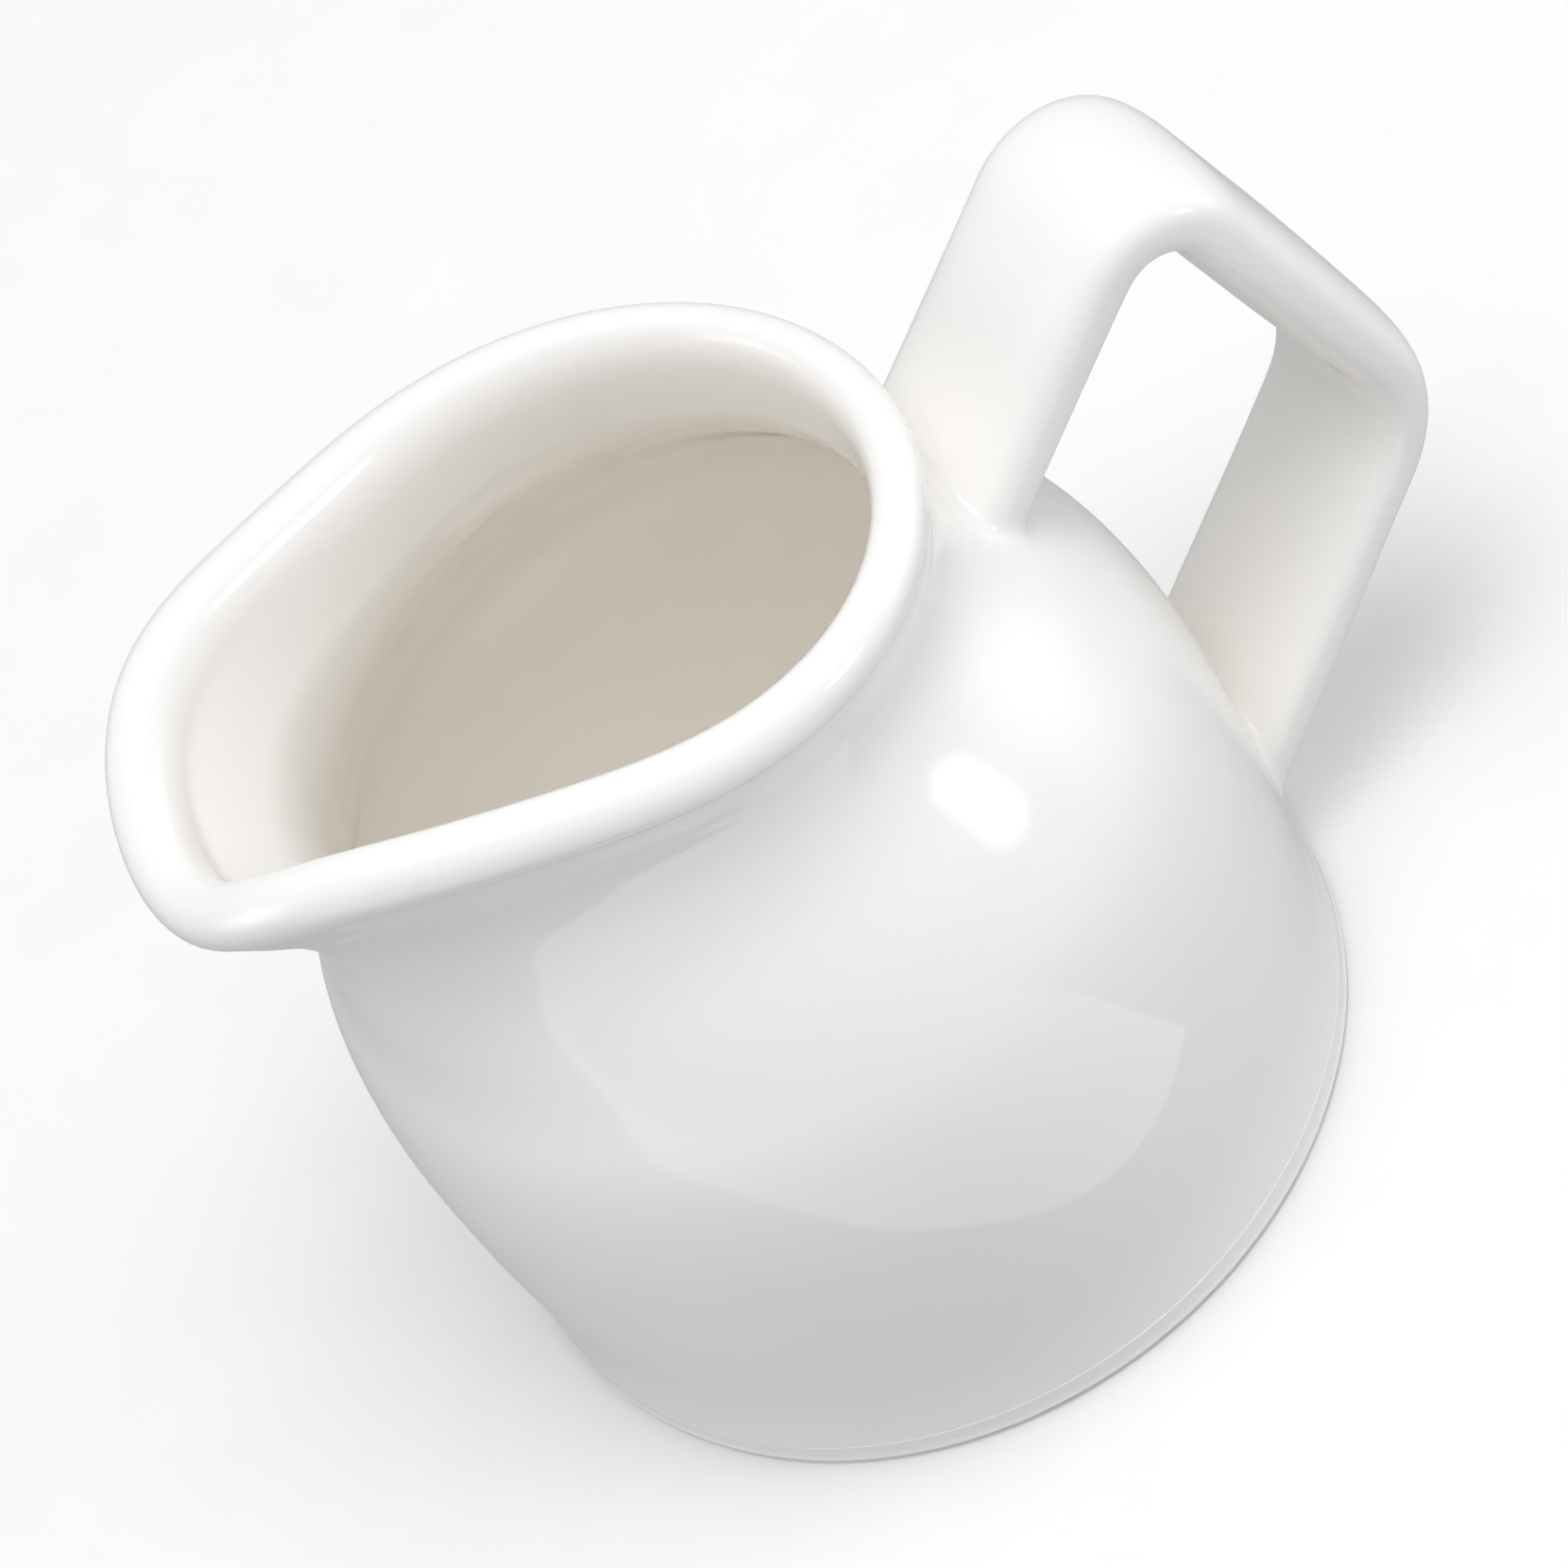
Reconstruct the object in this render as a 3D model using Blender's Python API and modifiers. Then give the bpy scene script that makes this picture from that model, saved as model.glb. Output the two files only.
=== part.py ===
"""Ceramic pitcher: a round-bellied cream jug with a pulled spout and a strap handle.

The body is a turned shell whose lip is pulled out into a spout. A strap handle is luted to it with
two slip joints, and the jug stands on a foot ring. Metres, +Z up, +X from the body to the handle.
"""

import math

import bmesh
import bpy
from mathutils import Vector

# Driving dimensions, in metres.
AXIS_X = -0.0142  # the body's axis, placed so that the whole jug is centred on X = 0
GAP = 0.0003  # space left between pieces that touch
COLUMNS = 64  # facets round the body
MERGE_DISTANCE = 0.00001  # vertices nearer than this are one

# Foot ring: an annulus with a flat bearing face, flaring a little below the wall.
FOOT_R = 0.0441
FOOT_TOP_R = 0.0430
FOOT_INNER_R = 0.0370
FOOT_H = 0.0030
FOOT_ROUND = 0.0009
FOOT_ROUND_STEPS = 3

# Body: (radius, height) points that its smooth walls pass through.
OUTER_WALL = [
    (0.0300, 0.0783),
    (0.0301, 0.0745),
    (0.0326, 0.0690),
    (0.0389, 0.0598),
    (0.0432, 0.0505),
    (0.0450, 0.0385),
    (0.0449, 0.0240),
    (0.0440, 0.0110),
    (0.0430, FOOT_H + GAP),
]
INNER_WALL = [
    (0.0375, 0.0110),
    (0.0397, 0.0160),
    (0.0409, 0.0270),
    (0.0408, 0.0385),
    (0.0390, 0.0505),
    (0.0346, 0.0600),
    (0.0285, 0.0690),
    (0.0262, 0.0740),
    (0.0259, 0.0780),
]
FLOOR_Z = 0.0078
FLOOR_CORNER_R = 0.0330
UNDERSIDE_Z = 0.0042
UNDERSIDE_R = 0.0350
UNDERSIDE_CHAMFER = 0.0010

# Lip: a round bead, (LIP_R, LIP_Z) at its centre on the handle side.
LIP_R = 0.0287
LIP_Z = 0.0830
LIP_BEAD_R = 0.0028
BEAD_START = 190.0  # the bead's arc, in degrees, from inside the mouth over the top
BEAD_END = -50.0
BEAD_STEPS = 10
WALL_STEPS = 2  # facets between two of the wall's points
LIP_SPOUT_SWELL = 1.25  # the bead is this much thicker at the spout
LIP_SHIFT = 0.0016  # the mouth's centre is this much nearer the handle than the body's axis

# Spout: how far the lip is pulled from round, as bell curves of the angle from the spout.
SPOUT_REACH = 0.0186
SPOUT_SPREAD = math.radians(26.4)
SPOUT_RISE = 0.0024
SPOUT_RISE_CURVE = 0.0014
SPOUT_DIP = 0.0108
SPOUT_DIP_SPREAD = math.radians(12.9)
PULL_START_Z = 0.0540
PULL_END_Z = 0.0810
PULL_POWER = 1.6
COLUMN_CROWDING = 0.35  # columns are this much closer together at the spout

# Handle: a strap whose centre line is straight legs with rounded corners, in the plane Y = 0.
# Its X values are measured from the body's axis.
HANDLE_CORNERS = [(0.0150, 0.0517), (0.0630, 0.0879), (0.0757, 0.0404), (0.0350, 0.0064)]
HANDLE_CORNER_R = [0.0070, 0.0135]
STRAP_W = 0.0220
STRAP_T = 0.0079
STRAP_SQUARENESS = 3.0  # power of the strap's superellipse section
STRAP_FACETS = 24
CORNER_STEPS = 10
STRAP_STEP = 0.0032  # length of the strap's facets along its centre line
UPPER_JOINT_X = 0.0365  # where the straight legs leave the slip joints
LOWER_JOINT_X = 0.0490
JOINT_LENGTH = 0.0090
JOINT_FLARE = 1.32  # how much wider a slip joint is where it enters the wall

CREASE_ANGLE = math.radians(45.0)  # edges sharper than this are shaded as edges

GLAZE = (0.86, 0.85, 0.82)
GLAZE_ROUGHNESS = 0.08
BISCUIT = (0.78, 0.74, 0.67)
BISCUIT_ROUGHNESS = 0.75


def clear_scene():
    for obj in list(bpy.data.objects):
        bpy.data.objects.remove(obj, do_unlink=True)


def make_collection(name):
    collection = bpy.data.collections.new(name)
    bpy.context.scene.collection.children.link(collection)
    return collection


def make_material(name, colour, roughness):
    material = bpy.data.materials.new(name)
    material.use_nodes = True
    shader = material.node_tree.nodes["Principled BSDF"]
    shader.inputs["Base Color"].default_value = (*colour, 1.0)
    shader.inputs["Roughness"].default_value = roughness
    shader.inputs["Metallic"].default_value = 0.0
    return material


def add_object(name, mesh, collection, material=None):
    obj = bpy.data.objects.new(name, mesh)
    collection.objects.link(obj)
    if material:
        mesh.materials.clear()
        mesh.materials.append(material)
    return obj


def smooth_curve(points, steps):
    """Points on a Catmull-Rom curve through the given ones, with that many steps in each span."""
    ends = [mirrored(points[1], points[0])] + list(points) + [mirrored(points[-2], points[-1])]
    curve = []
    for i in range(1, len(ends) - 2):
        a, b, c, d = (Vector(p) for p in ends[i - 1 : i + 3])
        for k in range(steps):
            t = k / steps
            slope = (c - a) * t
            bend = (2 * a - 5 * b + 4 * c - d) * t**2
            twist = (3 * b - 3 * c + d - a) * t**3
            curve.append(0.5 * (2 * b + slope + bend + twist))
    curve.append(Vector(points[-1]))
    return curve


def mirrored(point, about):
    return (2 * about[0] - point[0], 2 * about[1] - point[1])


def arc(centre, radius, start, end, steps):
    """Points of an arc, angles in degrees."""
    points = []
    for k in range(steps + 1):
        angle = math.radians(start + (end - start) * k / steps)
        points.append(Vector((centre[0] + radius * math.cos(angle), centre[1] + radius * math.sin(angle))))
    return points


def turned_mesh(profile, name, collection):
    """Turns (radius, height) points about Z. The profile runs down its outer side."""
    mesh = bpy.data.meshes.new(name + "_profile")
    bm = bmesh.new()
    verts = [bm.verts.new((p[0], 0.0, p[1])) for p in profile]
    for a, b in zip(verts, verts[1:]):
        bm.edges.new((a, b))
    bm.to_mesh(mesh)
    bm.free()
    obj = add_object(name + "_profile", mesh, collection)
    screw = obj.modifiers.new("turn", "SCREW")
    screw.steps = COLUMNS
    screw.render_steps = COLUMNS
    screw.use_merge_vertices = True
    screw.merge_threshold = MERGE_DISTANCE
    turned = evaluated_copy(obj, name)
    bpy.data.objects.remove(obj, do_unlink=True)
    return turned


def evaluated_copy(obj, name):
    """The object's mesh after its modifiers, in its own space."""
    bpy.context.view_layer.update()
    depsgraph = bpy.context.evaluated_depsgraph_get()
    mesh = bpy.data.meshes.new_from_object(obj.evaluated_get(depsgraph))
    mesh.name = name
    bm = bmesh.new()
    bm.from_mesh(mesh)
    bmesh.ops.remove_doubles(bm, verts=bm.verts, dist=MERGE_DISTANCE)
    bmesh.ops.recalc_face_normals(bm, faces=bm.faces)
    bm.to_mesh(mesh)
    bm.free()
    return mesh


def lip_point(angle, outward):
    """A point of the pulled lip, that far outward from the middle of its bead.

    The angle is measured from the spout, about the mouth's centre.
    """
    swell = math.exp(-0.5 * (angle / SPOUT_SPREAD) ** 2)
    radius = LIP_R + SPOUT_REACH * swell
    slope = -SPOUT_REACH * swell * angle / SPOUT_SPREAD**2
    x = LIP_SHIFT - radius * math.cos(angle)
    y = radius * math.sin(angle)
    tangent_x = radius * math.sin(angle) - slope * math.cos(angle)
    tangent_y = radius * math.cos(angle) + slope * math.sin(angle)
    tangent = Vector((tangent_x, tangent_y)).normalized()
    along = (LIP_R + radius * math.cos(angle)) / LIP_R
    dip = SPOUT_DIP * math.exp(-0.5 * (angle / SPOUT_DIP_SPREAD) ** 2)
    rise = SPOUT_RISE * along + SPOUT_RISE_CURVE * along**2 - dip
    return Vector((x - tangent.y * outward, y + tangent.x * outward, rise))


def within_bead(distance):
    """The part of a distance from the bead's middle that lies in the bead."""
    return min(max(distance, -LIP_BEAD_R), LIP_BEAD_R)


def pull_spout(point):
    """Moves a point of the turned body to its place on the jug with its spout."""
    radius = math.hypot(point.x, point.y)
    if radius < MERGE_DISTANCE:
        return point.copy()
    angle = math.atan2(point.y, -point.x)
    angle -= COLUMN_CROWDING * math.sin(angle)
    turned = Vector((-radius * math.cos(angle), radius * math.sin(angle), point.z))
    share = min(max((point.z - PULL_START_Z) / (PULL_END_Z - PULL_START_Z), 0.0), 1.0) ** PULL_POWER
    swell = (LIP_SPOUT_SWELL - 1.0) * 0.5 * (1.0 + math.cos(angle))
    outward = radius - LIP_R
    upward = point.z - LIP_Z
    pulled = lip_point(angle, outward + swell * within_bead(outward))
    pulled.z += point.z + swell * within_bead(upward)
    return turned.lerp(pulled, share)


def body_profile():
    """The body's section, from the middle of the floor, over the lip, to the underside."""
    floor = [Vector((0.0, FLOOR_Z)), Vector((FLOOR_CORNER_R, FLOOR_Z))]
    inner = smooth_curve(INNER_WALL, WALL_STEPS)
    bead = arc((LIP_R, LIP_Z), LIP_BEAD_R, BEAD_START, BEAD_END, BEAD_STEPS)
    outer = smooth_curve(OUTER_WALL, WALL_STEPS)
    seat = Vector((UNDERSIDE_R + UNDERSIDE_CHAMFER, FOOT_H + GAP))
    underside = [seat, Vector((UNDERSIDE_R, UNDERSIDE_Z)), Vector((0.0, UNDERSIDE_Z))]
    return floor + inner + bead + outer + underside


def envelope_profile():
    """The body's outside as a closed solid, swollen by the gap, for cutting the slip joints."""
    outer = smooth_curve(OUTER_WALL, WALL_STEPS)
    swollen = []
    for i, point in enumerate(outer):
        along = outer[min(i + 1, len(outer) - 1)] - outer[max(i - 1, 0)]
        along.normalize()
        swollen.append(point + Vector((-along.y, along.x)) * GAP)
    top = arc((LIP_R, LIP_Z), LIP_BEAD_R + GAP, 90.0, BEAD_END, BEAD_STEPS)
    return [Vector((0.0, LIP_Z + LIP_BEAD_R + GAP))] + top + swollen + [Vector((0.0, swollen[-1].y))]


def pulled_body(profile, name, collection):
    mesh = turned_mesh(profile, name, collection)
    for vertex in mesh.vertices:
        moved = pull_spout(vertex.co)
        vertex.co = (moved.x + AXIS_X, moved.y, moved.z)
    return mesh


def make_body(collection, glaze):
    mesh = pulled_body(body_profile(), "body_shell", collection)
    mesh.shade_smooth()
    return add_object("body_shell", mesh, collection, glaze)


def make_foot_ring(collection, biscuit):
    lower_side = arc((FOOT_R - FOOT_ROUND, FOOT_ROUND), FOOT_ROUND, 0.0, -90.0, FOOT_ROUND_STEPS)
    inner_side = arc((FOOT_INNER_R + FOOT_ROUND, FOOT_ROUND), FOOT_ROUND, -90.0, -180.0, FOOT_ROUND_STEPS)
    flare = Vector((FOOT_TOP_R, FOOT_H))
    profile = [flare] + lower_side + inner_side + [Vector((FOOT_INNER_R, FOOT_H)), flare]
    mesh = turned_mesh(profile, "foot_ring", collection)
    for vertex in mesh.vertices:
        vertex.co.x += AXIS_X
    mesh.shade_smooth()
    mesh.set_sharp_from_angle(angle=CREASE_ANGLE)
    return add_object("foot_ring", mesh, collection, biscuit)


def handle_line():
    """The strap's centre line, from the upper end to the lower."""
    corners = [Vector((x + AXIS_X, z)) for x, z in HANDLE_CORNERS]
    line = [corners[0]]
    for before, corner, after, radius in zip(corners, corners[1:], corners[2:], HANDLE_CORNER_R):
        back = (before - corner).normalized()
        onward = (after - corner).normalized()
        half = 0.5 * back.angle(onward)
        start = corner + back * radius / math.tan(half)
        centre = corner + (back + onward).normalized() * radius / math.sin(half)
        spread = math.pi - 2.0 * half
        spoke = start - centre
        for k in range(CORNER_STEPS + 1):
            turn = spread * k / CORNER_STEPS
            turned_x = spoke.x * math.cos(turn) + spoke.y * math.sin(turn)
            turned_y = spoke.y * math.cos(turn) - spoke.x * math.sin(turn)
            line.append(centre + Vector((turned_x, turned_y)))
    line.append(corners[-1])
    return line


def stretch(line, start, end):
    """The part of a line between two distances along it, in even steps."""
    lengths = [0.0]
    for a, b in zip(line, line[1:]):
        lengths.append(lengths[-1] + (b - a).length)
    steps = max(2, round((end - start) / STRAP_STEP))
    points = []
    for k in range(steps + 1):
        distance = start + (end - start) * k / steps
        i = max(j for j in range(len(line) - 1) if lengths[j] <= distance)
        share = (distance - lengths[i]) / (lengths[i + 1] - lengths[i])
        points.append(line[i].lerp(line[i + 1], share))
    return points


def line_length(line):
    return sum((b - a).length for a, b in zip(line, line[1:]))


def strap_section(collection):
    """The strap's section as a closed curve, a superellipse."""
    curve = bpy.data.curves.new("strap_section", "CURVE")
    curve.dimensions = "2D"
    spline = curve.splines.new("POLY")
    spline.points.add(STRAP_FACETS - 1)
    spline.use_cyclic_u = True
    for k, point in enumerate(spline.points):
        angle = 2.0 * math.pi * (k + 0.5) / STRAP_FACETS
        c, s = math.cos(angle), math.sin(angle)
        power = 2.0 / STRAP_SQUARENESS
        across = 0.5 * STRAP_W * math.copysign(abs(c) ** power, c)
        through = 0.5 * STRAP_T * math.copysign(abs(s) ** power, s)
        point.co = (across, through, 0.0, 1.0)
    obj = bpy.data.objects.new("strap_section", curve)
    collection.objects.link(obj)
    obj.hide_render = True
    obj.display_type = "WIRE"
    return obj


def swept_strap(name, points, flares, section, collection):
    """A closed mesh of the strap's section swept along points, scaled at each by its flare."""
    curve = bpy.data.curves.new(name, "CURVE")
    curve.dimensions = "3D"
    curve.bevel_mode = "OBJECT"
    curve.bevel_object = section
    curve.use_fill_caps = True
    curve.twist_mode = "MINIMUM"
    spline = curve.splines.new("POLY")
    spline.points.add(len(points) - 1)
    for target, point, flare in zip(spline.points, points, flares):
        target.co = (point.x, 0.0, point.y, 1.0)
        target.radius = flare
    obj = bpy.data.objects.new(name + "_line", curve)
    collection.objects.link(obj)
    mesh = evaluated_copy(obj, name)
    bpy.data.objects.remove(obj, do_unlink=True)
    return mesh


def make_handle(collection, section, joint_ends, glaze):
    line = handle_line()
    points = stretch(line, joint_ends[0] + GAP, joint_ends[1] - GAP)
    mesh = swept_strap("handle", points, [1.0] * len(points), section, collection)
    mesh.shade_smooth()
    mesh.set_sharp_from_angle(angle=CREASE_ANGLE)
    return add_object("handle", mesh, collection, glaze)


def make_joint(name, strap_end, root, section, envelope, collection, glaze):
    """A slip joint: the strap's flared root, cut to sit against the body's wall."""
    points = stretch(handle_line(), min(strap_end, root), max(strap_end, root))
    if root < strap_end:
        points.reverse()
    flares = [1.0 + (JOINT_FLARE - 1.0) * (k / (len(points) - 1)) ** 2 for k in range(len(points))]
    mesh = swept_strap(name, points, flares, section, collection)
    joint = add_object(name, mesh, collection, glaze)
    cut = joint.modifiers.new("seat", "BOOLEAN")
    cut.operation = "DIFFERENCE"
    cut.solver = "EXACT"
    cut.object = envelope
    return joint


def main():
    clear_scene()
    parts = make_collection("ceramic_pitcher")
    cutters = make_collection("cutters")
    glaze = make_material("glaze", GLAZE, GLAZE_ROUGHNESS)
    biscuit = make_material("biscuit", BISCUIT, BISCUIT_ROUGHNESS)

    make_body(parts, glaze)
    make_foot_ring(parts, biscuit)

    envelope = add_object("body_envelope", pulled_body(envelope_profile(), "body_envelope", cutters), cutters)
    envelope.hide_render = True
    envelope.display_type = "WIRE"
    section = strap_section(cutters)

    line = handle_line()
    total = line_length(line)
    upper_slope = (line[1] - line[0]).normalized()
    lower_slope = (line[-2] - line[-1]).normalized()
    upper_end = (UPPER_JOINT_X + AXIS_X - line[0].x) / upper_slope.x
    lower_end = total - (LOWER_JOINT_X + AXIS_X - line[-1].x) / lower_slope.x
    make_handle(parts, section, (upper_end, lower_end), glaze)
    upper_root = upper_end - JOINT_LENGTH
    lower_root = lower_end + JOINT_LENGTH
    make_joint("upper_handle_joint", upper_end, upper_root, section, envelope, parts, glaze)
    make_joint("lower_handle_joint", lower_end, lower_root, section, envelope, parts, glaze)


main()
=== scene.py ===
"""The looks of the ceramic pitcher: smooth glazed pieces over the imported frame, in a pale studio."""

import math

import bmesh
import bpy
from mathutils import Matrix, Vector
from mathutils.bvhtree import BVHTree


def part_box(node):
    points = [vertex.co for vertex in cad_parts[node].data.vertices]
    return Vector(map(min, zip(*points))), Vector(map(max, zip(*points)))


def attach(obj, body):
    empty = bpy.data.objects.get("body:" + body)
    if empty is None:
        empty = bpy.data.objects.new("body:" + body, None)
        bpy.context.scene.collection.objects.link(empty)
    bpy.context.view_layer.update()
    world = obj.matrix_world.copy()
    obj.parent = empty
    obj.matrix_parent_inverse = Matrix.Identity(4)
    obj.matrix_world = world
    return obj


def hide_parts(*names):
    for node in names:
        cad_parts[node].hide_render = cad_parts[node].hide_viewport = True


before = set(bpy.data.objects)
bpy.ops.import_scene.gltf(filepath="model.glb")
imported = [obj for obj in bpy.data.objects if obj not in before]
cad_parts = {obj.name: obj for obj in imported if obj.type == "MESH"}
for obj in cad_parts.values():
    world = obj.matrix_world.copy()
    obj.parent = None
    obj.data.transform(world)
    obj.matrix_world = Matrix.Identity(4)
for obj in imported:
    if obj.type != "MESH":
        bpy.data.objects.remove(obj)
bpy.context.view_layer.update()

# The frame's own measures, in metres.
FOOT_LOW, FOOT_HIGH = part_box("foot_ring")
AXIS_X = 0.5 * (FOOT_LOW.x + FOOT_HIGH.x)
FOOT_R = 0.5 * (FOOT_HIGH.x - FOOT_LOW.x)
FOOT_H = FOOT_HIGH.z

# Body: (radius, height) points of its smooth walls, outside from the lip down and inside from the floor up.
OUTER_WALL = [
    (0.0305, 0.0792),
    (0.0301, 0.0762),
    (0.0307, 0.0725),
    (0.0331, 0.0680),
    (0.0389, 0.0598),
    (0.0432, 0.0505),
    (0.0450, 0.0385),
    (0.0449, 0.0240),
    (0.0440, 0.0110),
    (0.0439, 0.0060),
    (0.0440, FOOT_H),
]
INNER_WALL = [
    (0.0330, 0.0078),
    (0.0362, 0.0088),
    (0.0382, 0.0112),
    (0.0397, 0.0160),
    (0.0409, 0.0270),
    (0.0408, 0.0385),
    (0.0390, 0.0505),
    (0.0346, 0.0600),
    (0.0285, 0.0690),
    (0.0262, 0.0740),
    (0.0259, 0.0775),
]
WALL_STEPS = 8
COLUMNS = 256
FLOOR_SHARES = (0.2, 0.5, 0.8, 0.95)
FOOT_INNER_R = 0.0370
FOOT_ROUND = 0.0009
FOOT_ROUND_STEPS = 8
FOOT_FLARE = 0.0001
FOOT_FLARE_STEPS = 5
UNDERSIDE_R = 0.0350
UNDERSIDE_Z = 0.0042
UNDERSIDE_CHAMFER = 0.0010

# Lip and spout.
LIP_R = 0.0287
LIP_Z = 0.0830
LIP_BEAD_R = 0.0028
LIP_SPOUT_SWELL = 1.25
LIP_SHIFT = 0.0016
LIP_SLOPE = 0.0056
LIP_END = -38.0
LIP_STEPS = 18
SPOUT_REACH = 0.0186
SPOUT_SPREAD = math.radians(26.4)
SPOUT_RISE = 0.0024
SPOUT_RISE_CURVE = 0.0014
SPOUT_DIP = 0.0108
SPOUT_DIP_SPREAD = math.radians(12.9)
PULL_START_Z = 0.0540
PULL_END_Z = 0.0810
PULL_POWER = 1.6
COLUMN_CROWDING = 0.35
AXIS_TOLERANCE = 1e-6

# The turned body is drawn this much smaller about its axis, so that it stays inside the CAD's box.
FIT_X = 0.9999
FIT_Y = 0.9984
FIT_Z = 0.9997
CREASE_ANGLE = math.radians(50.0)

# Handle: corners of the strap's centre line, X from the body's axis, and the strap's sizes along it.
HANDLE_CORNERS = [(0.0150, 0.0517), (0.0630, 0.0879), (0.0757, 0.0404), (0.0350, 0.0064)]
HANDLE_CORNER_R = [0.0070, 0.0135]
CORNER_STEPS = 40
STRAP_WIDTHS = [0.0219, 0.0208, 0.0236, 0.0212, 0.0226]
STRAP_THICKNESSES = [0.0078, 0.0083, 0.0081, 0.0066, 0.0077]
STRAP_SHARES = [0.0, 0.3, 0.5, 0.72, 1.0]
STRAP_SQUARENESS = 3.0
STRAP_FACETS = 72
STRAP_STEP = 0.0005
LINE_SMOOTHING = 6
UPPER_JOINT_X = 0.0368
LOWER_JOINT_X = 0.0510
FILLET_STEPS = 14
FILLET_RUN = 0.0023
FILLET_SPREAD = 0.0034
FILLET_PULL = 0.75
DIRECTION_SPAN = 4

# View: the camera looks at the body's axis at this height, and is rolled.
VIEW_HEIGHT = 0.040
VIEW_DISTANCE = 0.800
VIEW_ELEVATION = math.radians(48.63)
VIEW_AZIMUTH = math.radians(-6.36)
VIEW_ROLL = math.radians(35.34)
VIEW_AIM_RIGHT = 0.0010
VIEW_AIM_UP = 0.00684
VIEW_LENS = 192.49
VIEW_SENSOR = 36.0
VIEW_CLIP = (0.01, 50.0)

# Glaze. A noise is (scale, detail), with the pattern's roughness where it isn't 0.5.
GLAZE_THIN = (0.965, 0.940, 0.895)
GLAZE_THICK = (0.955, 0.929, 0.878)
GLAZE_IOR = 1.56
GLOSS_LOW = 0.035
GLOSS_HIGH = 0.07
CLOUD_NOISE = (28.0, 3.0)
HAZE_NOISE = (90.0, 4.0)
HAZE_BAND = (0.3, 0.7)
SPECK_SCALE = 38.0
SPECK_SIZE = 0.009
SPECK_CORE = 0.6
SPECK_COLOUR = (0.84, 0.80, 0.73)
RIPPLE_NOISE = (170.0, 1.0)
RIPPLE_DEPTH = 0.00002
GRAIN_NOISE = (1400.0, 2.0)
GRAIN_DEPTH = 0.000001

# Bare clay under the foot, and the studio's floor.
CLAY_DARK = (0.66, 0.61, 0.53)
CLAY_PALE = (0.8, 0.76, 0.69)
CLAY_ROUGHNESS = 0.8
CLAY_PIT_DEPTH = 0.00012
SAND_NOISE = (1800.0, 5.0, 0.7)
GLAZE_EDGE_Z = 0.0011
GLAZE_EDGE_BLUR = 0.00015
GLAZE_EDGE_WANDER = 0.0008
WANDER_NOISE = (220.0, 3.0)
RAMP_BAND = (0.35, 0.65)
FLOOR_PALE = (0.95, 0.93, 0.89)
FLOOR_PALER = (0.97, 0.95, 0.91)
FLOOR_BAND = (0.3, 0.7)
FLOOR_SIZE = 3.0
FLOOR_CELLS = 8
FLOOR_ROUGHNESS = 0.9
FLOOR_SPECULAR = 0.1
FIBRE_NOISE = (60.0, 5.0)

# Light. A softbox is (azimuth, elevation, distance, size, radiance), with its angles in degrees.
LIGHT_COLOUR = (0.98, 1.0, 1.05)
SKY_BRIGHT_SIDE = (80.0, 25.0)
SKY_LOW = 0.43
SKY_HIGH = 0.66
SOFTBOXES = {
    "overhead_box": (20.0, 80.0, 1.2, 1.2, 6.5),
    "left_box": (-100.0, 12.0, 3.0, 3.3, 2.6),
    "right_box": (80.0, 6.0, 3.0, 3.0, 1.4),
    "round_lamp": (45.0, 13.0, 0.8, 0.28, 7.5),
}
SOFTBOX_ACROSS = Vector((1.0, 0.3, 0.0))
FRONT_CARD_RADIANCE = 0.70
FRONT_CARD_SIZE = (0.60, 0.50)
FRONT_CARD_CORNER = Vector((0.0226, -0.0544, 0.001))
FRONT_CARD_ALONG = Vector((0.974, 0.226, 0.0))
FRONT_CARD_OUT = Vector((0.226, -0.974, 0.0))
DIFFUSE_BOUNCES = 12


def smooth_curve(points, steps):
    """Points on a Catmull-Rom curve through the given ones."""
    first = (2 * points[0][0] - points[1][0], 2 * points[0][1] - points[1][1])
    last = (2 * points[-1][0] - points[-2][0], 2 * points[-1][1] - points[-2][1])
    ends = [first] + list(points) + [last]
    curve = []
    for i in range(1, len(ends) - 2):
        a, b, c, d = (Vector(p) for p in ends[i - 1 : i + 3])
        for k in range(steps):
            t = k / steps
            slope = (c - a) * t
            bend = (2 * a - 5 * b + 4 * c - d) * t**2
            twist = (3 * b - 3 * c + d - a) * t**3
            curve.append(0.5 * (2 * b + slope + bend + twist))
    curve.append(Vector(points[-1]))
    return curve


def arc(centre, radius, start, end, steps):
    """Points on an arc between two angles in degrees."""
    points = []
    for k in range(steps + 1):
        angle = math.radians(start + (end - start) * k / steps)
        points.append(Vector((centre[0] + radius * math.cos(angle), centre[1] + radius * math.sin(angle))))
    return points


def lip_point(angle, outward):
    """A point of the pulled lip, that far outward from the middle of its bead."""
    swell = math.exp(-0.5 * (angle / SPOUT_SPREAD) ** 2)
    radius = LIP_R + SPOUT_REACH * swell
    slope = -SPOUT_REACH * swell * angle / SPOUT_SPREAD**2
    x = LIP_SHIFT - radius * math.cos(angle)
    y = radius * math.sin(angle)
    tangent_x = radius * math.sin(angle) - slope * math.cos(angle)
    tangent_y = radius * math.cos(angle) + slope * math.sin(angle)
    tangent = Vector((tangent_x, tangent_y)).normalized()
    along = (LIP_R + radius * math.cos(angle)) / LIP_R
    dip = SPOUT_DIP * math.exp(-0.5 * (angle / SPOUT_DIP_SPREAD) ** 2)
    rise = SPOUT_RISE * along + SPOUT_RISE_CURVE * along**2 - dip
    return Vector((x - tangent.y * outward, y + tangent.x * outward, rise))


def within_bead(distance):
    """The part of a distance from the lip's middle that lies in its bead."""
    return min(max(distance, -LIP_BEAD_R), LIP_BEAD_R)


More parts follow.
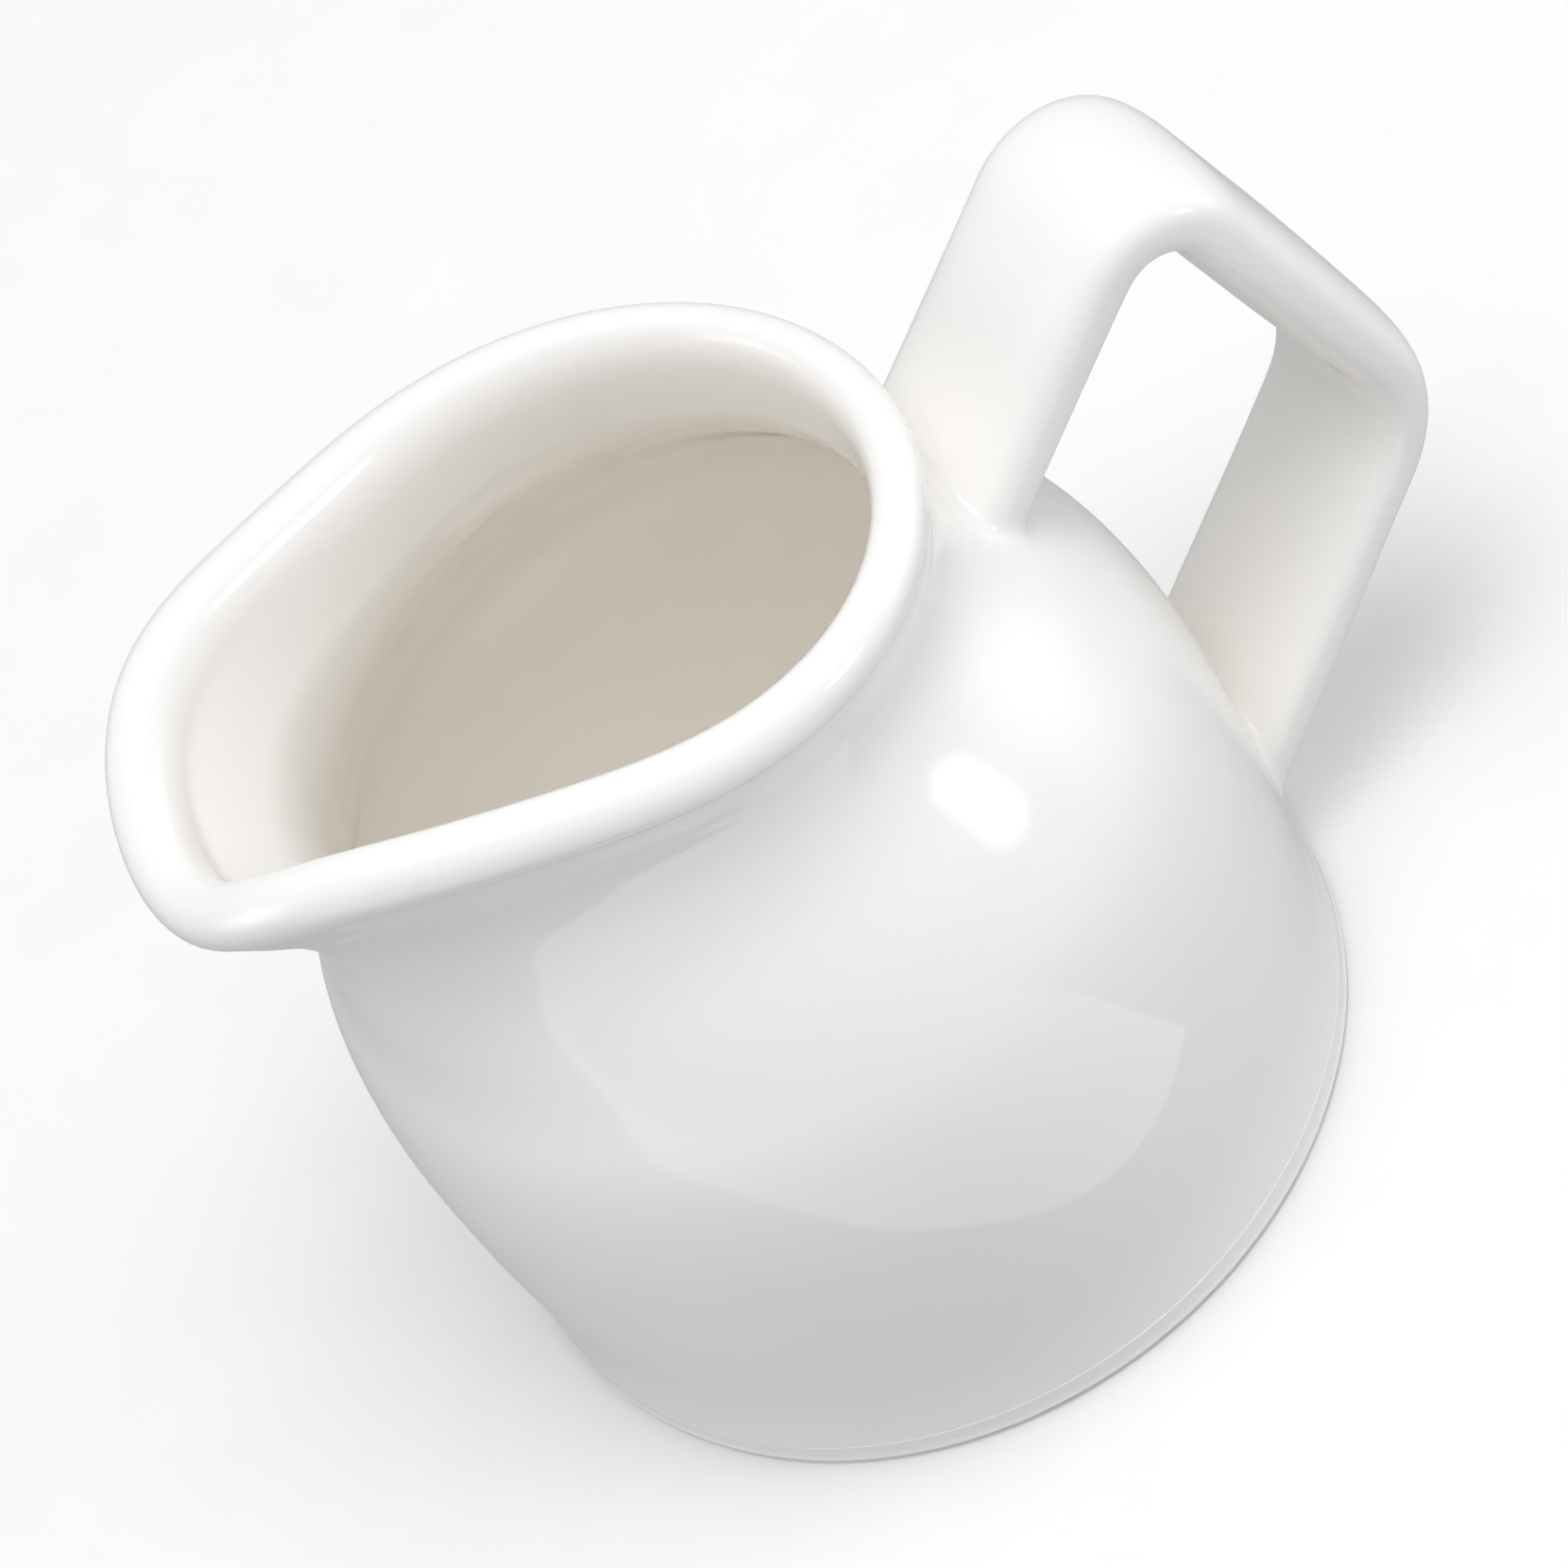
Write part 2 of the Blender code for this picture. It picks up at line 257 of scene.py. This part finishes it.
def pull_spout(radius, height, turn):
    """The place on the jug of a point of the turned body, at an angle from the spout."""
    angle = turn - COLUMN_CROWDING * math.sin(turn)
    turned = Vector((-radius * math.cos(angle), radius * math.sin(angle), height))
    share = min(max((height - PULL_START_Z) / (PULL_END_Z - PULL_START_Z), 0.0), 1.0) ** PULL_POWER
    if radius < AXIS_TOLERANCE or share == 0.0:
        return turned
    swell = (LIP_SPOUT_SWELL - 1.0) * 0.5 * (1.0 + math.cos(angle))
    outward = radius - LIP_R
    pulled = lip_point(angle, outward + swell * within_bead(outward))
    pulled.z += height + swell * within_bead(height - LIP_Z)
    return turned.lerp(pulled, share)


def grid_mesh(name, rings, poles=(), looped=False):
    """A smooth mesh from closed rings of points, each ring joined to the next.

    Two poles close its ends, or else the last ring is joined to the first where it is looped.
    """
    mesh = bpy.data.meshes.new(name)
    bm = bmesh.new()
    rows = [[bm.verts.new(p) for p in ring] for ring in rings]
    count = len(rows[0])
    ends = (rows[0], rows[-1])
    if looped:
        rows.append(rows[0])
    for above, below in zip(rows, rows[1:]):
        for i in range(count):
            j = (i + 1) % count
            bm.faces.new((above[i], above[j], below[j], below[i]))
    for pole, row in zip(poles, ends):
        centre = bm.verts.new(pole)
        for i in range(count):
            bm.faces.new((centre, row[i], row[(i + 1) % count]))
    bmesh.ops.recalc_face_normals(bm, faces=bm.faces)
    for face in bm.faces:
        face.smooth = True
    bm.to_mesh(mesh)
    bm.free()
    return mesh


def add_object(name, mesh):
    obj = bpy.data.objects.new(name, mesh)
    bpy.context.scene.collection.objects.link(obj)
    return obj


def lip_section():
    """The lip's section: a long soft slope inside the mouth, a round top, and a small undercut outside."""
    top = LIP_Z + LIP_BEAD_R
    points = []
    for k in range(LIP_STEPS + 1):
        angle = math.radians(180.0 - 90.0 * k / LIP_STEPS)
        inner = LIP_R + LIP_BEAD_R * math.cos(angle)
        points.append(Vector((inner, top - LIP_SLOPE + LIP_SLOPE * math.sin(angle))))
    return points + arc((LIP_R, LIP_Z), LIP_BEAD_R, 90.0, LIP_END, LIP_STEPS)[1:]


def body_profile():
    """The body's section from near the floor's middle, over the lip, to the underside."""
    floor = [Vector((share * INNER_WALL[0][0], INNER_WALL[0][1])) for share in FLOOR_SHARES]
    inner = smooth_curve(INNER_WALL, WALL_STEPS)
    outer = smooth_curve(OUTER_WALL, WALL_STEPS)
    underside = [
        Vector((UNDERSIDE_R + UNDERSIDE_CHAMFER, FOOT_H)),
        Vector((UNDERSIDE_R, UNDERSIDE_Z)),
        Vector((0.5 * UNDERSIDE_R, UNDERSIDE_Z)),
    ]
    return floor + inner + lip_section() + outer + underside


def make_body():
    rings = []
    for p in body_profile():
        ring = []
        for k in range(COLUMNS):
            turn = 2.0 * math.pi * k / COLUMNS - math.pi
            point = pull_spout(p.x, p.y, turn)
            ring.append(Vector((AXIS_X + point.x * FIT_X, point.y * FIT_Y, point.z * FIT_Z)))
        rings.append(ring)
    poles = (Vector((AXIS_X, 0.0, INNER_WALL[0][1])), Vector((AXIS_X, 0.0, UNDERSIDE_Z)))
    mesh = grid_mesh("glazed_body", rings, poles)
    mesh.set_sharp_from_angle(angle=CREASE_ANGLE)
    return add_object("glazed_body", mesh)


def make_foot():
    middle = (FOOT_R - FOOT_FLARE, 0.5 * FOOT_H)
    flare = smooth_curve([OUTER_WALL[-1], middle, (FOOT_R, FOOT_ROUND)], FOOT_FLARE_STEPS)[:-1]
    profile = (
        flare
        + arc((FOOT_R - FOOT_ROUND, FOOT_ROUND), FOOT_ROUND, 0.0, -90.0, FOOT_ROUND_STEPS)
        + arc((FOOT_INNER_R + FOOT_ROUND, FOOT_ROUND), FOOT_ROUND, -90.0, -180.0, FOOT_ROUND_STEPS)
        + [Vector((FOOT_INNER_R, FOOT_H))]
    )
    rings = []
    for p in profile:
        ring = []
        for k in range(COLUMNS):
            turn = 2.0 * math.pi * k / COLUMNS
            ring.append(Vector((AXIS_X + p.x * math.cos(turn), p.x * math.sin(turn), p.y)))
        rings.append(ring)
    mesh = grid_mesh("foot_bearing_ring", rings, looped=True)
    mesh.set_sharp_from_angle(angle=CREASE_ANGLE)
    return add_object("foot_bearing_ring", mesh)


def handle_line():
    """The strap's centre line from the upper end to the lower, in even steps."""
    corners = [Vector((x + AXIS_X, z)) for x, z in HANDLE_CORNERS]
    line = [corners[0]]
    for before, corner, after, radius in zip(corners, corners[1:], corners[2:], HANDLE_CORNER_R):
        back = (before - corner).normalized()
        onward = (after - corner).normalized()
        half = 0.5 * back.angle(onward)
        start = corner + back * radius / math.tan(half)
        centre = corner + (back + onward).normalized() * radius / math.sin(half)
        spread = math.pi - 2.0 * half
        spoke = start - centre
        for k in range(CORNER_STEPS + 1):
            turn = spread * k / CORNER_STEPS
            turned_x = spoke.x * math.cos(turn) + spoke.y * math.sin(turn)
            turned_y = spoke.y * math.cos(turn) - spoke.x * math.sin(turn)
            line.append(centre + Vector((turned_x, turned_y)))
    line.append(corners[-1])
    even = evenly(line, STRAP_STEP)
    for _ in range(LINE_SMOOTHING):
        inside = [0.25 * (a + 2 * b + c) for a, b, c in zip(even, even[1:], even[2:])]
        even = [even[0]] + inside + [even[-1]]
    return even


def evenly(line, step):
    """A line's points set anew, about one step apart."""
    lengths = [0.0]
    for a, b in zip(line, line[1:]):
        lengths.append(lengths[-1] + (b - a).length)
    count = max(2, round(lengths[-1] / step))
    points = []
    i = 0
    for k in range(count + 1):
        distance = lengths[-1] * k / count
        while i < len(line) - 2 and lengths[i + 1] < distance:
            i += 1
        share = (distance - lengths[i]) / (lengths[i + 1] - lengths[i])
        points.append(line[i].lerp(line[i + 1], share))
    return points


def eased(shares, values, share):
    """A smooth value between those given at some shares of the way."""
    for i in range(len(shares) - 1):
        if share <= shares[i + 1]:
            break
    t = (share - shares[i]) / (shares[i + 1] - shares[i])
    t = t * t * (3.0 - 2.0 * t)
    return values[i] + (values[i + 1] - values[i]) * t


def section_offsets():
    """(across, through) offsets of a section one unit wide and thick, a superellipse."""
    offsets = []
    power = 2.0 / STRAP_SQUARENESS
    for k in range(STRAP_FACETS):
        angle = 2.0 * math.pi * (k + 0.5) / STRAP_FACETS
        c, s = math.cos(angle), math.sin(angle)
        across = 0.5 * math.copysign(abs(c) ** power, c)
        through = 0.5 * math.copysign(abs(s) ** power, s)
        offsets.append((across, through))
    return offsets


def strap_rings(line, first, last):
    """Rings of the strap's section from one place on its centre line to another."""
    rings = []
    offsets = section_offsets()
    for i in range(first, last + 1):
        point = line[i]
        along = (line[i + 1] - line[i - 1]).normalized()
        normal = Vector((-along.y, along.x))
        share = i / (len(line) - 1)
        width = eased(STRAP_SHARES, STRAP_WIDTHS, share)
        thickness = eased(STRAP_SHARES, STRAP_THICKNESSES, share)
        ring = []
        for across, through in offsets:
            out = through * thickness
            ring.append(Vector((point.x + normal.x * out, across * width, point.y + normal.y * out)))
        rings.append(ring)
    return rings


def fillet_rings(ring, way, tree):
    """Rings that carry the strap's end ring on to the wall and flare out tangent to it.

    Also the wall's normals at the last ring.
    """
    hits = []
    for point in ring:
        hit, normal, _, _ = tree.ray_cast(point, way)
        if hit is None:
            hit, normal, _, _ = tree.find_nearest(point + way * FILLET_RUN)
        hits.append((hit, normal))
    middle = sum((hit for hit, _ in hits), Vector()) / len(hits)
    starts = []
    feet = []
    for (hit, normal), point in zip(hits, ring):
        starts.append(hit - way * min(FILLET_RUN, (hit - point).length))
        outward = hit - middle
        outward -= normal * outward.dot(normal)
        outward.normalize()
        foot, foot_normal, _, _ = tree.find_nearest(hit + outward * FILLET_SPREAD)
        feet.append((foot, foot_normal))
    rings = [starts]
    for k in range(1, FILLET_STEPS + 1):
        t = k / FILLET_STEPS
        row = []
        for start, (hit, _), (foot, foot_normal) in zip(starts, hits, feet):
            bend = start.lerp(hit, FILLET_PULL)
            inward = hit - foot
            inward -= foot_normal * inward.dot(foot_normal)
            reach = foot + inward * FILLET_PULL
            a = (1 - t) ** 3
            b = 3 * t * (1 - t) ** 2
            c = 3 * t**2 * (1 - t)
            d = t**3
            row.append(start * a + bend * b + reach * c + foot * d)
        rings.append(row)
    return rings, [normal for _, normal in feet]


def way_between(line, start, end):
    """The direction in space from one point of the strap's centre line to another."""
    way = (line[end] - line[start]).normalized()
    return Vector((way.x, 0, way.y))


def shared_normals(rings, first_normals, last_normals):
    """The normals of the strap and its joints as one surface, with the wall's at both ends."""
    whole = grid_mesh("whole_strap", rings)
    normals = [v.normal.copy() for v in whole.vertices]
    bpy.data.meshes.remove(whole)
    normals[:STRAP_FACETS] = first_normals
    normals[-STRAP_FACETS:] = last_normals
    return normals


def make_handle(wall):
    """The upper joint, the strap and the lower joint, as three pieces that share one smooth surface."""
    tree = BVHTree.FromObject(wall, bpy.context.evaluated_depsgraph_get())
    line = handle_line()
    first = next(i for i, p in enumerate(line) if p.x > UPPER_JOINT_X + AXIS_X)
    last = next(i for i in range(len(line) - 1, 0, -1) if line[i].x > LOWER_JOINT_X + AXIS_X)
    middle = strap_rings(line, first, last)
    up_rings, up_normals = fillet_rings(middle[0], way_between(line, first, first - DIRECTION_SPAN), tree)
    down_rings, down_normals = fillet_rings(middle[-1], way_between(line, last, last + DIRECTION_SPAN), tree)
    rings = up_rings[::-1] + middle + down_rings
    normals = shared_normals(rings, up_normals, down_normals)
    cuts = [0, len(up_rings), len(up_rings) + len(middle) - 1, len(rings) - 1]
    pieces = []
    names = ("upper_luting_joint", "strap_handle", "lower_luting_joint")
    for name, start, end in zip(names, cuts, cuts[1:]):
        part = rings[start : end + 1]
        poles = [sum(ring, Vector()) / STRAP_FACETS for ring in (part[0], part[-1])]
        mesh = grid_mesh(name, part, poles)
        loops = [None] * len(mesh.loops)
        side = len(part) * STRAP_FACETS
        for face in mesh.polygons:
            capped = any(v >= side for v in face.vertices)
            for index in face.loop_indices:
                vertex = start * STRAP_FACETS + mesh.loops[index].vertex_index
                loops[index] = face.normal.copy() if capped else normals[vertex]
        mesh.normals_split_custom_set(loops)
        pieces.append(add_object(name, mesh))
    return pieces


def make_camera():
    """The view's camera, turned, raised and rolled about a point on the body's axis."""
    target = Vector((AXIS_X, 0.0, VIEW_HEIGHT))
    turn = Matrix.Rotation(VIEW_AZIMUTH, 3, "Z")
    right = turn @ Vector((1.0, 0.0, 0.0))
    up = turn @ Vector((0.0, math.sin(VIEW_ELEVATION), math.cos(VIEW_ELEVATION)))
    back = turn @ Vector((0.0, -math.cos(VIEW_ELEVATION), math.sin(VIEW_ELEVATION)))
    image_right = right * math.cos(VIEW_ROLL) - up * math.sin(VIEW_ROLL)
    image_up = right * math.sin(VIEW_ROLL) + up * math.cos(VIEW_ROLL)
    place = target + back * VIEW_DISTANCE
    aim = target + image_right * VIEW_AIM_RIGHT + image_up * VIEW_AIM_UP
    z_axis = (place - aim).normalized()
    x_axis = image_up.cross(z_axis).normalized()
    y_axis = z_axis.cross(x_axis)
    camera = bpy.data.cameras.new("camera")
    camera.lens = VIEW_LENS
    camera.sensor_width = VIEW_SENSOR
    camera.clip_start, camera.clip_end = VIEW_CLIP
    obj = bpy.data.objects.new("camera", camera)
    rotation = Matrix((x_axis, y_axis, z_axis)).transposed().to_4x4()
    obj.matrix_world = Matrix.Translation(place) @ rotation
    bpy.context.scene.collection.objects.link(obj)
    bpy.context.scene.camera = obj


def new_material(name):
    """A material with its node tree, its shader, and the object-space coordinates of its points."""
    material = bpy.data.materials.new(name)
    material.use_nodes = True
    tree = material.node_tree
    shader = tree.nodes["Principled BSDF"]
    coordinates = tree.nodes.new("ShaderNodeTexCoord").outputs["Object"]
    return material, tree, shader, coordinates


def add_noise(tree, coordinates, scale, detail, roughness=0.5):
    noise = tree.nodes.new("ShaderNodeTexNoise")
    noise.inputs["Scale"].default_value = scale
    noise.inputs["Detail"].default_value = detail
    noise.inputs["Roughness"].default_value = roughness
    tree.links.new(coordinates, noise.inputs["Vector"])
    return noise.outputs["Fac"]


def add_ramp(tree, factor, band, first, second):
    """Goes from the first colour to the second between the two ends of a band."""
    ramp = tree.nodes.new("ShaderNodeValToRGB")
    for stop, place, colour in zip(ramp.color_ramp.elements, band, (first, second)):
        stop.position = place
        stop.color = (*colour, 1.0)
    tree.links.new(factor, ramp.inputs["Fac"])
    return ramp.outputs["Color"]


def add_mix(tree, factor, first, second):
    """Mixes two colours, each a tuple or another node's socket."""
    mix = tree.nodes.new("ShaderNodeMix")
    mix.data_type = "RGBA"
    tree.links.new(factor, mix.inputs["Factor"])
    for socket, value in ((mix.inputs[6], first), (mix.inputs[7], second)):
        if isinstance(value, tuple):
            socket.default_value = (*value, 1.0)
        else:
            tree.links.new(value, socket)
    return mix.outputs[2]


def add_range(tree, value, low, high, to_low, to_high):
    """The value mapped from one range to another, held at its ends."""
    node = tree.nodes.new("ShaderNodeMapRange")
    for name, number in (("From Min", low), ("From Max", high), ("To Min", to_low), ("To Max", to_high)):
        node.inputs[name].default_value = number
    tree.links.new(value, node.inputs["Value"])
    return node.outputs["Result"]


def add_bump(tree, shader, heights):
    """Chains bumps of (height, depth in metres) into the shader's normal."""
    normal = None
    for height, depth in heights:
        bump = tree.nodes.new("ShaderNodeBump")
        bump.inputs["Strength"].default_value = 1.0
        bump.inputs["Distance"].default_value = depth
        tree.links.new(height, bump.inputs["Height"])
        if normal:
            tree.links.new(normal, bump.inputs["Normal"])
        normal = bump.outputs["Normal"]
    tree.links.new(normal, shader.inputs["Normal"])


def add_specks(tree, coordinates, scale, size):
    """1 in small round spots, one in each cell of a Voronoi pattern, 0 elsewhere."""
    cells = tree.nodes.new("ShaderNodeTexVoronoi")
    cells.inputs["Scale"].default_value = scale
    tree.links.new(coordinates, cells.inputs["Vector"])
    return add_range(tree, cells.outputs["Distance"], SPECK_CORE * size, size, 1.0, 0.0)


def glaze_nodes(tree, coordinates):
    """The glaze's colour and roughness: faint clouds, and a few pinholes."""
    clouds = add_noise(tree, coordinates, *CLOUD_NOISE)
    colour = add_ramp(tree, clouds, RAMP_BAND, GLAZE_THIN, GLAZE_THICK)
    specks = add_specks(tree, coordinates, SPECK_SCALE, SPECK_SIZE)
    colour = add_mix(tree, specks, colour, SPECK_COLOUR)
    haze = add_noise(tree, coordinates, *HAZE_NOISE)
    roughness = add_range(tree, haze, *HAZE_BAND, GLOSS_LOW, GLOSS_HIGH)
    return colour, roughness


def make_glaze():
    material, tree, shader, coordinates = new_material("glaze_look")
    colour, roughness = glaze_nodes(tree, coordinates)
    tree.links.new(colour, shader.inputs["Base Color"])
    tree.links.new(roughness, shader.inputs["Roughness"])
    shader.inputs["IOR"].default_value = GLAZE_IOR
    ripples = add_noise(tree, coordinates, *RIPPLE_NOISE)
    grain = add_noise(tree, coordinates, *GRAIN_NOISE)
    add_bump(tree, shader, [(ripples, RIPPLE_DEPTH), (grain, GRAIN_DEPTH)])
    return material


def make_foot_finish():
    """Glazed down to the last millimetre, then bare fired clay on the bearing face."""
    material, tree, shader, coordinates = new_material("foot_look")
    colour, roughness = glaze_nodes(tree, coordinates)
    parts = tree.nodes.new("ShaderNodeSeparateXYZ")
    tree.links.new(coordinates, parts.inputs[0])
    wander = add_noise(tree, coordinates, *WANDER_NOISE)
    edge = tree.nodes.new("ShaderNodeMath")
    edge.operation = "MULTIPLY_ADD"
    tree.links.new(wander, edge.inputs[0])
    edge.inputs[1].default_value = GLAZE_EDGE_WANDER
    tree.links.new(parts.outputs["Z"], edge.inputs[2])
    bare = add_range(tree, edge.outputs[0], GLAZE_EDGE_Z, GLAZE_EDGE_Z + GLAZE_EDGE_BLUR, 1.0, 0.0)
    sand = add_noise(tree, coordinates, *SAND_NOISE)
    clay = add_ramp(tree, sand, RAMP_BAND, CLAY_DARK, CLAY_PALE)
    tree.links.new(add_mix(tree, bare, colour, clay), shader.inputs["Base Color"])
    rough = tree.nodes.new("ShaderNodeMix")
    tree.links.new(bare, rough.inputs["Factor"])
    tree.links.new(roughness, rough.inputs[2])
    rough.inputs[3].default_value = CLAY_ROUGHNESS
    tree.links.new(rough.outputs[0], shader.inputs["Roughness"])
    shader.inputs["IOR"].default_value = GLAZE_IOR
    pits = tree.nodes.new("ShaderNodeMath")
    pits.operation = "MULTIPLY"
    tree.links.new(sand, pits.inputs[0])
    tree.links.new(bare, pits.inputs[1])
    add_bump(tree, shader, [(pits.outputs[0], CLAY_PIT_DEPTH)])
    return material


def make_floor():
    """Pale paper that the glaze doesn't mirror, and that bounces no light back up at it."""
    material, tree, shader, coordinates = new_material("floor_paper")
    fibres = add_noise(tree, coordinates, *FIBRE_NOISE)
    colour = add_ramp(tree, fibres, FLOOR_BAND, FLOOR_PALE, FLOOR_PALER)
    tree.links.new(colour, shader.inputs["Base Color"])
    shader.inputs["Roughness"].default_value = FLOOR_ROUGHNESS
    shader.inputs["Specular IOR Level"].default_value = FLOOR_SPECULAR
    mesh = bpy.data.meshes.new("studio_floor")
    bm = bmesh.new()
    bmesh.ops.create_grid(bm, x_segments=FLOOR_CELLS, y_segments=FLOOR_CELLS, size=FLOOR_SIZE)
    bm.to_mesh(mesh)
    bm.free()
    mesh.materials.append(material)
    floor = add_object("studio_floor", mesh)
    floor.visible_diffuse = False
    floor.visible_glossy = False


def fade_round(tree, place_on_card, radiance):
    """Full in the card's middle, and nothing at its edges."""
    distance = tree.nodes.new("ShaderNodeVectorMath")
    distance.operation = "DISTANCE"
    distance.inputs[1].default_value = (0.5, 0.5, 0.0)
    tree.links.new(place_on_card, distance.inputs[0])
    strength = add_range(tree, distance.outputs["Value"], 0.0, 0.5, radiance, 0.0)
    strength.node.interpolation_type = "SMOOTHSTEP"
    return strength


def fade_across(tree, place_on_card, radiance):
    """Nothing along one edge of the card, and full along the opposite one."""
    parts = tree.nodes.new("ShaderNodeSeparateXYZ")
    tree.links.new(place_on_card, parts.inputs[0])
    return add_range(tree, parts.outputs["Y"], 0.0, 1.0, 0.0, radiance)


def add_card(name, place, x_axis, z_axis, size, radiance, fade):
    """A softbox that the camera doesn't see. It shines against z_axis."""
    light = bpy.data.lights.new(name, "AREA")
    light.shape = "RECTANGLE"
    light.size, light.size_y = size
    light.energy = math.pi * size[0] * size[1]
    light.color = LIGHT_COLOUR
    light.use_nodes = True
    tree = light.node_tree
    place_on_card = tree.nodes.new("ShaderNodeNewGeometry").outputs["Parametric"]
    strength = fade(tree, place_on_card, radiance)
    tree.links.new(strength, tree.nodes["Emission"].inputs["Strength"])
    obj = bpy.data.objects.new(name, light)
    z_axis = z_axis.normalized()
    x_axis = (x_axis - z_axis * x_axis.dot(z_axis)).normalized()
    rotation = Matrix((x_axis, z_axis.cross(x_axis), z_axis)).transposed().to_4x4()
    obj.matrix_world = Matrix.Translation(place) @ rotation
    obj.visible_camera = False
    bpy.context.scene.collection.objects.link(obj)
    return obj


def direction(azimuth, elevation):
    """A unit vector: azimuth 0 is towards the viewer's side, -Y, and grows towards +X."""
    a, e = math.radians(azimuth), math.radians(elevation)
    return Vector((math.cos(e) * math.sin(a), -math.cos(e) * math.cos(a), math.sin(e)))


def make_sky():
    """A room that is brighter towards one side, with no edges that would show in the glaze."""
    world = bpy.data.worlds.new("studio")
    bpy.context.scene.world = world
    world.use_nodes = True
    tree = world.node_tree
    background = tree.nodes["Background"]
    towards = tree.nodes.new("ShaderNodeTexCoord").outputs["Generated"]
    along = tree.nodes.new("ShaderNodeVectorMath")
    along.operation = "DOT_PRODUCT"
    along.inputs[1].default_value = direction(*SKY_BRIGHT_SIDE)
    tree.links.new(towards, along.inputs[0])
    background.inputs["Color"].default_value = (*LIGHT_COLOUR, 1.0)
    strength = add_range(tree, along.outputs["Value"], -1.0, 1.0, SKY_LOW, SKY_HIGH)
    tree.links.new(strength, background.inputs["Strength"])


def make_lights():
    """The sky, the softboxes, and a card on the floor in front that shows only in the glaze."""
    make_sky()
    middle = Vector((AXIS_X, 0.0, VIEW_HEIGHT))
    for name, (azimuth, elevation, distance, size, radiance) in SOFTBOXES.items():
        away = direction(azimuth, elevation)
        add_card(name, middle + away * distance, SOFTBOX_ACROSS, away, (size, size), radiance, fade_round)
    width, depth = FRONT_CARD_SIZE
    place = FRONT_CARD_CORNER - FRONT_CARD_ALONG * 0.5 * width + FRONT_CARD_OUT * 0.5 * depth
    down = Vector((0.0, 0.0, -1.0))
    radiance = FRONT_CARD_RADIANCE
    card = add_card("front_card", place, -FRONT_CARD_ALONG, down, FRONT_CARD_SIZE, radiance, fade_across)
    card.visible_diffuse = False


body = make_body()
foot = make_foot()
upper, strap, lower = make_handle(body)
glaze = make_glaze()
for piece, node, slot, finish in (
    (body, "body_shell", "glaze", glaze),
    (foot, "foot_ring", "biscuit", make_foot_finish()),
    (strap, "handle", "glaze", glaze),
    (upper, "upper_handle_joint", "glaze", glaze),
    (lower, "lower_handle_joint", "glaze", glaze),
):
    piece.data.materials.append(finish)
    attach(piece, "root")
    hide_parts(node)
make_camera()
make_floor()
make_lights()
bpy.context.scene.view_settings.view_transform = "Standard"
bpy.context.scene.cycles.diffuse_bounces = DIFFUSE_BOUNCES
